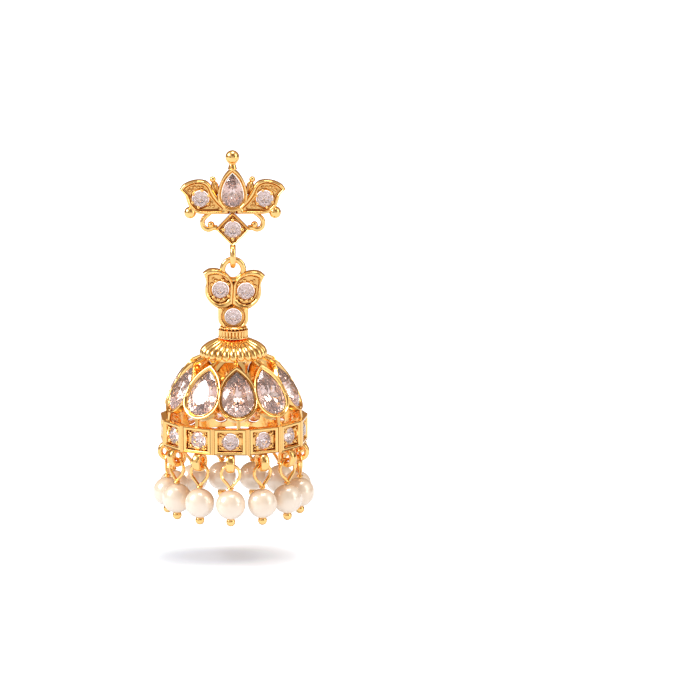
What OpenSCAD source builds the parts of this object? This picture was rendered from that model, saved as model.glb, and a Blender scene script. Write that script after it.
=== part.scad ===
// A jhumka: a bell-shaped drop that hangs free from a lotus-shaped ear stud.
// Millimetres, +Z up, the face looks along -Y and the ear post along +Y.
// The origin is the centre of the stud's back, where it sits on the ear lobe.

/* [Stud] */
// Thickness of the stud's petals
stud_thickness = 1.3; // [1:0.1:2]
// Thickness of the stud's pear and rhombus settings, which stand proud
setting_thickness = 1.8; // [1.5:0.1:2.6]
// Radius of the round end of the stud's pear stone
stud_pear_radius = 1.5; // [1.2:0.05:1.7]
// Height of the pear stone's tip above the centre of its round end
stud_pear_height = 3.2; // [2.6:0.1:3.6]
// Rim around the stud's pear stone
stud_pear_rim = 0.5; // [0.35:0.05:0.7]
// Depth of the pave floor below a leaf's rim
pave_depth = 0.35; // [0.2:0.05:0.6]
// Diameter of the small round stones of the stud and the connector
leaf_stone_diameter = 2.3; // [1.8:0.1:2.6]
// Diameter of the ball on top of the stud
top_ball_diameter = 1.9; // [1.4:0.1:2.4]
// Diameter of the two outer balls
side_ball_diameter = 1.65; // [1.2:0.05:2]
// Diameter of the two small balls beside the pear stone
small_ball_diameter = 0.85; // [0.6:0.05:1]
// Wire of the two scroll loops
scroll_wire = 0.75; // [0.5:0.05:0.9]
// Height of the rhombus setting
rhombus_height = 4.7; // [4.2:0.1:5.4]
// Distance from the middle of the rhombus to its side corners
rhombus_half_width = 2.3; // [2:0.1:2.8]

/* [Ear post] */
// Diameter of the ear post
post_diameter = 0.8; // [0.7:0.05:1]
// Length of the ear post behind the stud
post_length = 10; // [8:0.5:12]

/* [Hinge rings] */
// Outer diameter of the stud's fixed ring
fixed_ring_diameter = 3.5; // [3.1:0.1:4]
// Outer diameter of the connector's ring
hanging_ring_diameter = 3.6; // [3.2:0.1:4]
// Wire diameter of both rings
ring_wire = 0.8; // [0.6:0.05:0.9]

/* [Connector] */
// Thickness of the connector's leaf settings
leaf_thickness = 1.5; // [1.2:0.1:2]
// Width of the base setting
base_width = 4.1; // [3.6:0.1:4.6]
// Thickness of the base setting
base_thickness = 2.4; // [2:0.1:3]
// Roll of the two leaves about their middle, clockwise from the front
face_roll = 3; // [-4:0.5:4]
// Diameter of the ribbed collar
collar_diameter = 4.1; // [3.6:0.1:4.6]
// Height of the ribbed collar
collar_height = 1.2; // [0.8:0.1:1.6]
// Diameter of the peg that holds the bell
peg_diameter = 1.6; // [1.2:0.1:2]

/* [Cap] */
// Diameter of the fluted cap's rim
cap_diameter = 9.2; // [8.4:0.1:10]
// Height of the cap from its rim to the collar
cap_height = 2; // [1.6:0.1:2.6]
// Thickness of the cap's wall
cap_wall = 0.55; // [0.4:0.05:0.8]

/* [Cage] */
// Number of pear stones around the bell
pear_count = 10; // [8:1:10]
// Turn of the front pear stone about the bell's axis
pear_turn = 4; // [-18:1:18]
// Radius of the round end of a pear stone
pear_radius = 2.2; // [1.9:0.05:2.3]
// Height of a pear stone's tip above the centre of its round end
pear_height = 4.2; // [3.8:0.1:4.6]
// Rim around a pear stone
pear_rim = 0.55; // [0.4:0.05:0.6]
// Depth of a pear bezel
bezel_depth = 1.1; // [0.9:0.1:1.3]
// Lean of the pear bezels from the vertical
bezel_lean = 29; // [24:1:34]
// Distance from the bell's axis to the round end's centre on the bezel's face
bezel_reach = 8.2; // [8:0.05:8.6]
// Width of the struts
strut_width = 0.6; // [0.5:0.05:0.8]

/* [Band] */
// Number of panels in the band
panel_count = 13; // [11:1:14]
// Turn of the front panel about the bell's axis
panel_turn = -3; // [-14:1:14]
// Distance from the bell's axis to the flat of a panel
band_reach = 9.8; // [9.4:0.1:10.4]
// Height of the band
band_height = 3.6; // [3.2:0.1:4]
// Thickness of the band
band_thickness = 1; // [0.8:0.1:1.2]
// Width of a panel's recess
recess_width = 3.3; // [2.8:0.1:3.5]
// Height of a panel's recess
recess_height = 2.7; // [2.6:0.1:2.9]
// Depth of a panel's recess
recess_depth = 0.35; // [0.2:0.05:0.5]
// Diameter of the band's round stones
band_stone_diameter = 2.3; // [1.9:0.1:2.4]

/* [Pearls] */
// Diameter of a pearl
pearl_diameter = 4; // [3.4:0.1:4.1]
// Distance from the flat of a panel in to the lugs and pearls
drop_inset = 0.75; // [0.5:0.05:1]
// Outer diameter of a lug
lug_diameter = 2.7; // [2.3:0.1:3]
// Hole through a lug
lug_hole = 1.2; // [1:0.05:1.4]
// Width of a lug along the band
lug_width = 1.2; // [0.9:0.1:1.4]
// Wire diameter of the eye pins
pin_wire = 0.5; // [0.4:0.05:0.6]
// Width of an eye pin's loop between wire centres
eye_width = 2.5; // [2.1:0.1:2.8]
// Height of an eye pin's loop below its widest place
eye_drop = 1.95; // [1.6:0.05:2.3]
// Diameter of the ball at the end of an eye pin
pin_ball_diameter = 1.27; // [1:0.05:1.5]
// Depth of the seat in a pearl's lower end that takes the ball
ball_seat_depth = 0.3; // [0.15:0.05:0.4]

/* [Fit] */
// Gap between separate pieces
gap = 0.05; // [0.03:0.01:0.08]

/* [Hidden] */
$fn = 64;

gold = "gold";
pink_stone = "thistle";
pearl_white = "linen";

// How far a cutter passes the face that it cuts
cut = 0.5;

// Stud: heights from the origin, and outlines as rows of x, z and the bow of
// the arc to the next row, to the right of the way and counter-clockwise
stud_pear_z = 0.05;
side_stone = [4.3, -0.35];
petal_outline = [
    [7.15, 0.88, 0.32], [4.5, 2.12, 0.18], [2.7, 1.45, -0.15],
    [0.4, -1.9, 0], [0.4, -2.45, 0], [4.2, -2.4, 0.35], [6, -0.9, -0.3]];
petal_floor = [
    [6.5, 0.75, 0.25], [4.5, 1.6, 0.35], [3.05, -0.2, 0],
    [2.3, -1.9, 0], [4.3, -1.95, 0.35], [5.6, -0.6, -0.1]];
top_ball_z = 5.25;
small_ball = [2.65, 2.25];
side_ball = [5.7, -2.25];
scroll_points = [[3.2, -2.4], [3.95, -3.1], [3.95, -4.1], [3.1, -4.75], [2.1, -4.45]];
curl_ball_diameter = 1;
curl_ball = [2.75, -4.05];
rhombus_z = -4.45;
neck_diameter = 1.15;
stem_length = 1.6;
stem_turn = 195;
// The post stands behind the metal between the pear stone and the lower stone
post_z = -2.3;

// Rings: the connector's ring hangs on the lowest place of the fixed ring
fixed_ring_radius = (fixed_ring_diameter - ring_wire) / 2;
ring_sink = 0.45;
fixed_ring_z = rhombus_z - rhombus_height / 2 - fixed_ring_diameter / 2 + ring_sink;
swing_z = fixed_ring_z - fixed_ring_radius;
ring_y = -setting_thickness / 2;
hanging_ring_radius = (hanging_ring_diameter - ring_wire) / 2;
hanging_ring_z = swing_z + ring_wire / 2 - (hanging_ring_radius - ring_wire / 2) + gap;

// Connector, whose leaves and base hang below its ring
leaf_drop = 3.1;
leaf_z = hanging_ring_z - leaf_drop;
leaf_outline = [
    [4.2, 2.4, 0.2], [2.6, 3.15, 0.45], [0.25, 1.6, 0], [-0.4, 1.1, 0], [-0.4, -1.7, 0],
    [0.3, -1.7, 0.25], [1.85, -2.32, 0.75], [3.85, 0, 0], [3.93, 1.3, -0.06]];
leaf_floor = [
    [3.5, 1.95, 0.1], [2.3, 2.25, 0.45], [0.42, 0.3, 0.5], [1.85, -1.55, 0.45], [3.35, 0.1, 0]];
leaf_stone = [1.72, 0.3];
base_drop = 1.95;
base_z = leaf_z - base_drop;
base_height = 2.65;
base_outline = [
    [base_width / 2, 0, 0], [-base_width / 2, 0, 0], [-base_width / 2, -1.4, 0.2],
    [-1.4, -base_height, 0], [1.4, -base_height, 0.2], [base_width / 2, -1.4, 0]];
base_stone_drop = 1.25;
base_stone_z = base_z - base_stone_drop;
lip_diameter = 3.5;
lip_height = 0.4;
collar_z = base_z - base_height - lip_height;

// Cap and the crown plate under it, held by the peg's riveted head
cap_top_z = collar_z - collar_height - gap;
cap_rim_z = cap_top_z - cap_height;
crown_inset = 0.4;
crown_diameter = cap_diameter - 2 * crown_inset;
crown_thickness = 0.6;
crown_z = cap_rim_z - gap;
rivet_diameter = 2.8;
rivet_height = 0.5;

// Cage: a pear bezel's own centre is the middle of its round end, on its face
pear_tip_reach = pear_tip(pear_radius, pear_height, pear_rim);
bezel_drop = 0.75;
bezel_z = crown_z - bezel_drop - pear_tip_reach * cos(bezel_lean);
bezel_bottom = [bezel_reach + (pear_radius + pear_rim) * sin(bezel_lean),
                bezel_z - (pear_radius + pear_rim) * cos(bezel_lean)];
bezel_top = [bezel_reach - pear_tip_reach * sin(bezel_lean),
             bezel_z + pear_tip_reach * cos(bezel_lean)];
stone_sink = 0.25;
// The struts run from the crown plate to the bezels' tips, and the posts from
// the bezels to the band. Each end is set in by a row of reach and height.
strut_thickness = 0.6;
strut_start = [-0.5, -crown_thickness / 2];
strut_end = [-0.1, -0.6];
post_start = [-0.35, 0.4];
post_end = [-0.42, -0.3];

// Band, lugs and drops
post_height = 1.15;
band_top_z = bezel_bottom[1] - post_height;
band_middle_z = band_top_z - band_height / 2;
lug_drop = 1.2;
lug_z = band_top_z - band_height - lug_drop;
// The drops hang under the band, and no nearer together than their pearls allow
drop_reach = max(band_reach - drop_inset, (pearl_diameter / 2 + gap) / sin(180 / panel_count));
lug_chamfer = 0.25;
// The loop's top hangs this far above the bottom of the lug's hole
eye_play = 0.07;
eye_top_z = lug_z - lug_hole / 2 + pin_wire / 2 + gap + eye_play;
eye_middle_z = eye_top_z - eye_width / 2;
eye_bottom_z = eye_middle_z - eye_drop;
knot_diameter = 1.5 * pin_wire;
// The pearl rises this far past the knot's lowest place, which is over its hole
knot_rise = 0.12;
pearl_z = eye_bottom_z - knot_diameter / 2 + knot_rise - pearl_diameter / 2;
pearl_hole = pin_wire + 2 * gap;
// The ball is let into a seat in the pearl's lower end
pin_ball_z = pearl_z - pearl_diameter / 2 - pin_ball_diameter / 2 + ball_seat_depth;

// Cut stones: shares of the radius, and of the girdle for the table
crown_share = 0.32;
pavilion_share = 0.86;
table_share = 0.56;
pear_crown_share = 0.3;
pear_pavilion_share = 0.8;
pear_table_share = 0.62;
pear_heart_share = 0.3;

// How much a wire's knuckle is thicker than the wire
knuckle = 0.06;

// Each drop's turn about its own pin
drop_turns = [0, 6, -14, 18, -10, 8, -4, 12, -8, 14, -12, 16, 5];

function numbered(word, i) = str(word, i < 10 ? "0" : "", i);

// A point beside the middle of a chord, on an arc that bows by "bow" to the right of a -> b
function bowed(a, b, bow, t) =
    let (chord = b - a, side = [chord[1], -chord[0]] / norm(chord))
    a + t * chord + 4 * bow * t * (1 - t) * side;

// The outline through rows of x, z and bow, with four steps on each bowed side
function outline(rows, steps = 4) =
    [for (i = [0:len(rows) - 1])
        let (a = [rows[i][0], rows[i][1]],
             next = rows[(i + 1) % len(rows)],
             b = [next[0], next[1]],
             count = rows[i][2] == 0 ? 1 : steps)
        for (k = [0:count - 1]) bowed(a, b, rows[i][2], k / count)];

// Height of a pear outline's tip above the centre of its round end
function pear_flank(radius, height) = (height * height + radius * radius) / (2 * radius);
function pear_tip(radius, height, rim) =
    let (flank = pear_flank(radius, height))
    sqrt(pow(flank + rim, 2) - pow(flank - radius, 2));

// Lays a drawing of x and z upright, with its thickness from y = 0 towards the front
module upright(thickness) {
    rotate([90, 0, 0]) linear_extrude(thickness) children();
}

// A pear outline: a round end of the radius, and two flanks that meet at the tip
module pear(radius, height, rim) {
    flank = pear_flank(radius, height);
    circle(radius + rim);
    intersection() {
        translate([flank - radius, 0]) circle(flank + rim);
        translate([radius - flank, 0]) circle(flank + rim);
        translate([-radius - rim, 0]) square([2 * (radius + rim), 2 * height]);
    }
}

// The girdle of a pear stone as points, counter-clockwise from its tip
function pear_points(radius, height, rim, steps) =
    let (flank = pear_flank(radius, height),
         tip = pear_tip(radius, height, rim),
         sweep = asin(tip / (flank + rim)))
    concat(
        [for (k = [0:steps - 1])
            let (a = sweep * (1 - k / steps))
            [(radius - flank) + (flank + rim) * cos(a), (flank + rim) * sin(a)]],
        [for (k = [0:2 * steps - 1])
            let (a = -180 * k / (2 * steps)) [(radius + rim) * cos(a), (radius + rim) * sin(a)]],
        [for (k = [0:steps - 1])
            let (a = sweep * k / steps)
            [(flank - radius) - (flank + rim) * cos(a), (flank + rim) * sin(a)]]);

// A cut pear stone, its girdle at z = 0, its table towards +z
module pear_stone(radius, height) {
    steps = 3;
    crown = pear_crown_share * radius;
    pavilion = pear_pavilion_share * radius;
    table = pear_table_share;
    girdle = pear_points(radius, height, -gap, steps);
    n = len(girdle);
    heart = [0, pear_heart_share * height * table];
    top = [for (p = girdle) [heart[0] + table * p[0], heart[1] + table * (p[1] - heart[1])]];
    points = concat(
        [for (p = girdle) [p[0], p[1], 0]],
        [for (p = top) [p[0], p[1], crown]],
        [[0, heart[1], crown], [0, heart[1], -pavilion]]);
    faces = concat(
        [for (i = [0:n - 1]) [i, n + i, (i + 1) % n]],
        [for (i = [0:n - 1]) [(i + 1) % n, n + i, n + (i + 1) % n]],
        [for (i = [0:n - 1]) [n + i, 2 * n, n + (i + 1) % n]],
        [for (i = [0:n - 1]) [i, (i + 1) % n, 2 * n + 1]]);
    polyhedron(points, faces);
}

// A cut round stone, its girdle at z = 0, its table towards +z
module round_stone(diameter) {
    r = diameter / 2 - gap;
    rotate_extrude()
        polygon([
            [0, -pavilion_share * r], [r, 0], [table_share * r, crown_share * r],
            [0, crown_share * r]]);
}

// Turns a stone that looks up into one that looks to the front, at a height and depth
module front_stone(x, y, z) {
    translate([x, y, z]) rotate([90, 0, 0]) children();
}

// A wire along points of x and z in the plane y = 0
module wire(points, diameter) {
    for (i = [0:len(points) - 2]) {
        a = points[i];
        b = points[i + 1];
        step = b - a;
        translate([a[0], 0, a[1]])
            rotate([0, atan2(step[0], step[1]), 0])
                cylinder(d = diameter, h = norm(step));
        translate([b[0], 0, b[1]]) sphere(d = diameter + knuckle);
    }
}

module ring(radius, wire_diameter) {
    rotate_extrude() translate([radius, 0]) circle(d = wire_diameter);
}

// --- Stud ---

module petal() {
    difference() {
        upright(stud_thickness) polygon(outline(petal_outline));
        translate([0, pave_depth - stud_thickness, 0])
            upright(pave_depth + cut) polygon(outline(petal_floor));
        front_stone(side_stone[0], cut, side_stone[1])
            cylinder(d = leaf_stone_diameter, h = stud_thickness + 2 * cut);
    }
}

module scroll() {
    translate([0, -stud_thickness / 2, 0]) {
        wire(scroll_points, scroll_wire);
        translate([curl_ball[0], 0, curl_ball[1]]) sphere(d = curl_ball_diameter);
    }
}

module stud_side() {
    petal();
    scroll();
    translate([side_ball[0], -stud_thickness / 2, side_ball[1]]) sphere(d = side_ball_diameter);
    translate([small_ball[0], -stud_thickness / 2, small_ball[1]]) {
        sphere(d = small_ball_diameter);
        rotate([0, stem_turn, 0]) cylinder(d = 0.6 * small_ball_diameter, h = stem_length);
    }
}

module stud_body() {
    stud_side();
    mirror([1, 0, 0]) stud_side();
    upright(setting_thickness)
        translate([0, stud_pear_z]) pear(stud_pear_radius, stud_pear_height, stud_pear_rim);
    translate([0, -stud_thickness / 2, stud_pear_z + stud_pear_height])
        cylinder(d = neck_diameter, h = top_ball_z - stud_pear_z - stud_pear_height);
    translate([0, -stud_thickness / 2, top_ball_z]) sphere(d = top_ball_diameter);
    upright(setting_thickness)
        polygon([[0, rhombus_z - rhombus_height / 2], [rhombus_half_width, rhombus_z],
                 [0, rhombus_z + rhombus_height / 2], [-rhombus_half_width, rhombus_z]]);
    translate([0, ring_y, fixed_ring_z]) rotate([0, 90, 0]) ring(fixed_ring_radius, ring_wire);
}

module stud_frame() {
    color(gold) difference() {
        stud_body();
        translate([0, cut, stud_pear_z])
            upright(setting_thickness + 2 * cut) pear(stud_pear_radius, stud_pear_height, 0);
        front_stone(0, cut, rhombus_z)
            cylinder(d = leaf_stone_diameter, h = setting_thickness + 2 * cut);
    }
}

module ear_post() {
    color(gold) translate([0, gap, post_z]) rotate([-90, 0, 0])
        cylinder(d = post_diameter, h = post_length);
}

module stud_pear_stone() {
    color(pink_stone) front_stone(0, stone_sink - setting_thickness, stud_pear_z)
        pear_stone(stud_pear_radius, stud_pear_height);
}

module stud_side_stone_right() {
    color(pink_stone)
        front_stone(side_stone[0], pave_depth - stud_thickness, side_stone[1])
            round_stone(leaf_stone_diameter);
}

module stud_side_stone_left() {
    mirror([1, 0, 0]) stud_side_stone_right();
}

module stud_lower_stone() {
    color(pink_stone) front_stone(0, stone_sink - setting_thickness, rhombus_z)
        round_stone(leaf_stone_diameter);
}

// --- Connector ---

module leaf() {
    difference() {
        upright(leaf_thickness) polygon(outline(leaf_outline));
        translate([0, pave_depth - leaf_thickness, 0])
            upright(pave_depth + cut) polygon(outline(leaf_floor));
        front_stone(leaf_stone[0], cut, leaf_stone[1])
            cylinder(d = leaf_stone_diameter, h = leaf_thickness + 2 * cut);
    }
}

module connector_base() {
    translate([0, base_thickness / 2, base_z]) upright(base_thickness)
        polygon(outline(base_outline));
    translate([0, 0, collar_z]) cylinder(d = lip_diameter, h = lip_height);
    translate([0, 0, collar_z - collar_height]) cylinder(d = collar_diameter, h = collar_height);
}

module connector_peg() {
    peg_end = crown_z - crown_thickness - gap;
    translate([0, 0, peg_end]) cylinder(d = peg_diameter, h = collar_z - peg_end);
    translate([0, 0, peg_end - rivet_height]) cylinder(d = rivet_diameter, h = rivet_height);
}

module connector() {
    color(gold) translate([0, ring_y, 0]) {
        translate([0, 0, hanging_ring_z]) rotate([90, 0, 0]) ring(hanging_ring_radius, ring_wire);
        translate([0, 0, leaf_z]) rotate([0, face_roll, 0])
            translate([0, leaf_thickness / 2, 0]) {
                leaf();
                mirror([1, 0, 0]) leaf();
            }
        difference() {
            connector_base();
            front_stone(0, cut + base_thickness / 2, base_stone_z)
                cylinder(d = leaf_stone_diameter, h = base_thickness + 2 * cut);
        }
        connector_peg();
    }
}

// Sets a stone in the leaf on one side, -1 for the left and 1 for the right
module leaf_stone(side) {
    color(pink_stone) translate([0, ring_y, leaf_z]) rotate([0, face_roll, 0])
        front_stone(side * leaf_stone[0], pave_depth - leaf_thickness / 2, leaf_stone[1])
            round_stone(leaf_stone_diameter);
}

module connector_stone_left() {
    leaf_stone(-1);
}

module connector_stone_right() {
    leaf_stone(1);
}

module connector_stone_base() {
    color(pink_stone)
        front_stone(0, ring_y + stone_sink - base_thickness / 2, base_stone_z)
            round_stone(leaf_stone_diameter);
}

// --- Bell, whose axis is the line x = 0, y = ring_y ---

module around(count, turn, i) {
    translate([0, ring_y, 0]) rotate([0, 0, turn + i * 360 / count]) children();
}

module bell_cap() {
    r = cap_diameter / 2;
    inner = peg_diameter / 2 + gap;
    neck = collar_diameter / 2;
    color(gold) translate([0, ring_y, cap_rim_z]) rotate_extrude()
        polygon([
            [inner, cap_height], [neck, cap_height], [0.72 * r, 0.72 * cap_height],
            [0.9 * r, 0.42 * cap_height], [r, 0], [r - cap_wall, 0],
            [0.9 * r - cap_wall, 0.3 * cap_height], [0.72 * r - cap_wall, 0.5 * cap_height],
            [neck - cap_wall, cap_height - cap_wall], [inner, cap_height - cap_wall]]);
}

// Sets a drawing on a bezel's face: its y runs up the bezel, its z out of the face
module on_bezel() {
    translate([0, -bezel_reach, bezel_z]) rotate([90 - bezel_lean, 0, 0]) children();
}

// A strut between two points of reach and height, in the plane of the bell's axis
module strut(a, b) {
    step = b - a;
    side = [step[1], -step[0]] / norm(step) * strut_thickness / 2;
    rotate([0, 0, -90]) rotate([90, 0, 0])
        translate([0, 0, -strut_width / 2]) linear_extrude(strut_width)
            polygon([a - side, b - side, b + side, a + side]);
}

module cage_piece() {
    on_bezel() translate([0, 0, -bezel_depth])
        linear_extrude(bezel_depth) pear(pear_radius, pear_height, pear_rim);
    strut([crown_diameter / 2, crown_z] + strut_start, bezel_top + strut_end);
    strut(bezel_bottom + post_start, [band_reach, band_top_z] + post_end);
}

module cage_cutter() {
    on_bezel() translate([0, 0, -bezel_depth - 2 * cut])
        linear_extrude(bezel_depth + 3 * cut) pear(pear_radius, pear_height, 0);
}

// The slice of the bell that belongs to one pear bezel
module cage_slice() {
    far = 3 * bezel_reach;
    side = far * tan(180 / pear_count);
    translate([0, 0, -2 * far]) linear_extrude(2 * far)
        polygon([[0, 0], [-side, -far], [side, -far]]);
}

module cage() {
    for (i = [0:pear_count - 1]) around(pear_count, pear_turn, i) intersection() {
        cage_slice();
        difference() {
            cage_piece();
            cage_cutter();
        }
    }
}

module band_ring() {
    corner = band_reach / cos(180 / panel_count);
    first = panel_turn - 90 + 180 / panel_count;
    translate([0, ring_y, band_top_z - band_height]) difference() {
        linear_extrude(band_height)
            polygon([for (i = [0:panel_count - 1])
                corner * [cos(first + i * 360 / panel_count), sin(first + i * 360 / panel_count)]]);
        translate([0, 0, -cut])
            cylinder(r = band_reach - band_thickness, h = band_height + 2 * cut);
    }
}

module panel_cutter() {
    translate([-recess_width / 2, -band_reach - cut, band_middle_z - recess_height / 2])
        cube([recess_width, cut + recess_depth, recess_height]);
    front_stone(0, -band_reach + band_thickness + cut, band_middle_z)
        cylinder(d = band_stone_diameter, h = band_thickness + 2 * cut);
}

// A lug is a short tube across the bell's radius, chamfered inside and out
module lug() {
    half = lug_width / 2;
    hole = lug_hole / 2;
    rim = lug_diameter / 2;
    translate([0, -drop_reach, lug_z]) rotate([0, 90, 0]) rotate_extrude()
        polygon([
            [hole + lug_chamfer, -half], [rim - lug_chamfer, -half], [rim, lug_chamfer - half],
            [rim, half - lug_chamfer], [rim - lug_chamfer, half], [hole + lug_chamfer, half],
            [hole, half - lug_chamfer], [hole, lug_chamfer - half]]);
}

module band() {
    difference() {
        band_ring();
        for (i = [0:panel_count - 1]) around(panel_count, panel_turn, i) panel_cutter();
    }
}

module bell() {
    color(gold) difference() {
        union() {
            cage();
            translate([0, ring_y, crown_z - crown_thickness])
                cylinder(d = crown_diameter, h = crown_thickness);
            band();
            for (i = [0:panel_count - 1]) around(panel_count, panel_turn, i) lug();
        }
        translate([0, ring_y, crown_z - crown_thickness - cut])
            cylinder(d = peg_diameter + 2 * gap, h = crown_thickness + 2 * cut);
    }
}

module cage_stone(i) {
    color(pink_stone) around(pear_count, pear_turn, i - 1)
        on_bezel() translate([0, 0, -stone_sink]) pear_stone(pear_radius, pear_height);
}

module band_stones() {
    color(pink_stone) for (i = [0:panel_count - 1]) around(panel_count, panel_turn, i)
        front_stone(0, recess_depth - band_reach, band_middle_z)
            round_stone(band_stone_diameter);
}

// --- Drops ---

module eye_pin(i) {
    half = eye_width / 2;
    color(gold) around(panel_count, panel_turn, i - 1) translate([0, -drop_reach, 0])
        rotate([0, 0, drop_turns[(i - 1) % len(drop_turns)]]) {
            translate([0, 0, eye_middle_z]) rotate([90, 0, 0])
                rotate_extrude(angle = 180) translate([half, 0]) circle(d = pin_wire);
            wire([[0, eye_bottom_z], [half, eye_middle_z]], pin_wire);
            wire([[0, eye_bottom_z], [-half, eye_middle_z]], pin_wire);
            translate([0, 0, eye_bottom_z]) sphere(d = knot_diameter);
            translate([0, 0, pin_ball_z]) cylinder(d = pin_wire, h = eye_bottom_z - pin_ball_z);
            translate([0, 0, pin_ball_z]) sphere(d = pin_ball_diameter);
        }
}

module pearl(i) {
    color(pearl_white) around(panel_count, panel_turn, i - 1)
        translate([0, -drop_reach, pearl_z]) difference() {
            sphere(d = pearl_diameter);
            translate([0, 0, -pearl_diameter])
                cylinder(d = pearl_hole, h = 2 * pearl_diameter);
            translate([0, 0, pin_ball_z - pearl_z]) sphere(d = pin_ball_diameter + 2 * gap);
        }
}

stud_frame();
ear_post();
stud_pear_stone();
stud_side_stone_left();
stud_side_stone_right();
stud_lower_stone();
connector();
connector_stone_left();
connector_stone_right();
connector_stone_base();
bell_cap();
bell();
band_stones();
for (i = [1:pear_count])
    cage_stone(i);
for (i = [1:panel_count])
    eye_pin(i);
for (i = [1:panel_count])
    pearl(i);
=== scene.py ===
"""The looks of a jhumka earring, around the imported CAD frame: gold castings, cut stones and pearls.

Shapes are drawn in millimetres and become metres as each mesh is made. +Z is up and the face
looks along -Y. A flat casting is drawn in x and z, with its depth measured forwards from its back.
"""

import random
from math import asin, copysign, cos, hypot, pi, radians, sin, sqrt, tan

import bmesh
import bpy
from mathutils import Matrix, Vector


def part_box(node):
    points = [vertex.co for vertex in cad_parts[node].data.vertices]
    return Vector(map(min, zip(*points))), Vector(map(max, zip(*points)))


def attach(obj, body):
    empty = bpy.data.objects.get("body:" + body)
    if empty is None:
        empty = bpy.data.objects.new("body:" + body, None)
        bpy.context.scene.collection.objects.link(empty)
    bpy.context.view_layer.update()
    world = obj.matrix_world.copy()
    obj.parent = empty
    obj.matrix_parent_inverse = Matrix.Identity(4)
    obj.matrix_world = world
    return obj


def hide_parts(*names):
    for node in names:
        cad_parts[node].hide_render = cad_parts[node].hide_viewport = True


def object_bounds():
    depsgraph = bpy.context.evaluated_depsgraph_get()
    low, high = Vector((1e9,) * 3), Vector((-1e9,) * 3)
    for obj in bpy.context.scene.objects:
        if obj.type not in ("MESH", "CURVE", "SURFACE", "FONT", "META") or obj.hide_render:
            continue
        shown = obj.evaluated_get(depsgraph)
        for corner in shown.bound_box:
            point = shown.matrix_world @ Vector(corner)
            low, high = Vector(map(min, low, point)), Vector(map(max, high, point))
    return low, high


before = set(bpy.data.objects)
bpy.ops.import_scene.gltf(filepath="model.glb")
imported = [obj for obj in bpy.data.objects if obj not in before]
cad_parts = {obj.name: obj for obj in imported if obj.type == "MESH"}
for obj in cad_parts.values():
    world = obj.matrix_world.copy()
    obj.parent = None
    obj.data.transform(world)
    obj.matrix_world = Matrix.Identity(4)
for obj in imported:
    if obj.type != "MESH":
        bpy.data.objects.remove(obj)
CAD_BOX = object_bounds()
MM = 0.001
random.seed(7)


# --- Sizes, in millimetres, and places, from the frame ---

def box_mm(node):
    low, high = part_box(node)
    return low / MM, high / MM


STUD_HIGH = box_mm("stud_frame")[1]
CAP_LOW, CAP_HIGH = box_mm("bell_cap")
BAND_STONE_LOW, BAND_STONE_HIGH = box_mm("band_stones")
AXIS_Y = (CAP_LOW.y + CAP_HIGH.y) / 2

GAP = 0.05  # between pieces
LEAF_STONE_R = 1.15

PETAL_THICK = 1.3
SETTING_THICK = 1.8
STUD_PEAR = dict(radius=1.5, height=3.2)
STUD_PEAR_Z = 0.05
STUD_PEAR_RIM = 0.5
SIDE_STONE = (4.3, -0.35)
TOP_BALL_R = 0.95
SIDE_BALL_R = 0.825
SMALL_BALL_R = 0.42
RHOMBUS_Z = -4.45
RHOMBUS_TALL = 2.35
RHOMBUS_WIDE = 2.3
RING_WIRE_R = 0.4
FIXED_RING_R = 1.35
FIXED_RING_Z = RHOMBUS_Z - RHOMBUS_TALL - 1.3

HANGING_RING_R = 1.4
LEAF_THICK = 1.5
LEAF_ROLL = radians(3)
CONNECTOR_LOW, CONNECTOR_HIGH = box_mm("connector")
HANGING_RING_Z = CONNECTOR_HIGH.z - HANGING_RING_R - RING_WIRE_R
LEAF_Z = HANGING_RING_Z - 3.1
LEAF_STONE = (1.72, 0.3)
BASE_THICK = 2.4
BASE_WIDE = 2.05
BASE_TALL = 2.65
BASE_Z = LEAF_Z - 1.95
BASE_STONE_DROP = 1.25
COLLAR_R = 2.05
COLLAR_TALL = 1.2
COLLAR_Z = CAP_HIGH.z + GAP + COLLAR_TALL
RIBS = 26

CAP_R = (CAP_HIGH.x - CAP_LOW.x) / 2
CAP_TALL = CAP_HIGH.z - CAP_LOW.z
FLUTES = 26

PEARS = 10
PEAR_TURN = 4  # degrees, of the first pear bezel from the front
PEAR = dict(radius=2.2, height=4.2)
PEAR_RIM = 0.55
BEZEL_DEPTH = 1.1
LEAN = radians(29)
BEZEL_REACH = 8.2  # from the axis to a bezel's face, at its round end's centre
CROWN_R = CAP_R - 0.4
CROWN_TALL = 0.6
STONE_SINK = 0.25

PANELS = 13
PANEL_TURN = -3  # degrees, of the first panel from the front
BAND_REACH = 9.8  # from the axis to a panel's face
BAND_TALL = 3.6
BAND_THICK = 1.0
BAND_Z = (BAND_STONE_LOW.z + BAND_STONE_HIGH.z) / 2
BAND_STONE_R = 1.15
RECESS_DEPTH = 0.35

DROP_REACH = 9.05  # from the axis to the middle of a drop
LUG_R = 1.35
LUG_HOLE_R = 0.6
LUG_WIDE = 1.2
LUG_Z = BAND_Z - BAND_TALL / 2 - 1.2
PIN_R = 0.25
EYE_HALF = 1.25
EYE_DROP = 1.95
PEARL_R = 1.995
PIN_BALL_R = 0.635
# How far each drop turns about its own axis, in degrees
DROP_TURNS = [0, 6, -14, 18, -10, 8, -4, 12, -8, 14, -12, 16, 5]


# --- Shapes ---

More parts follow.
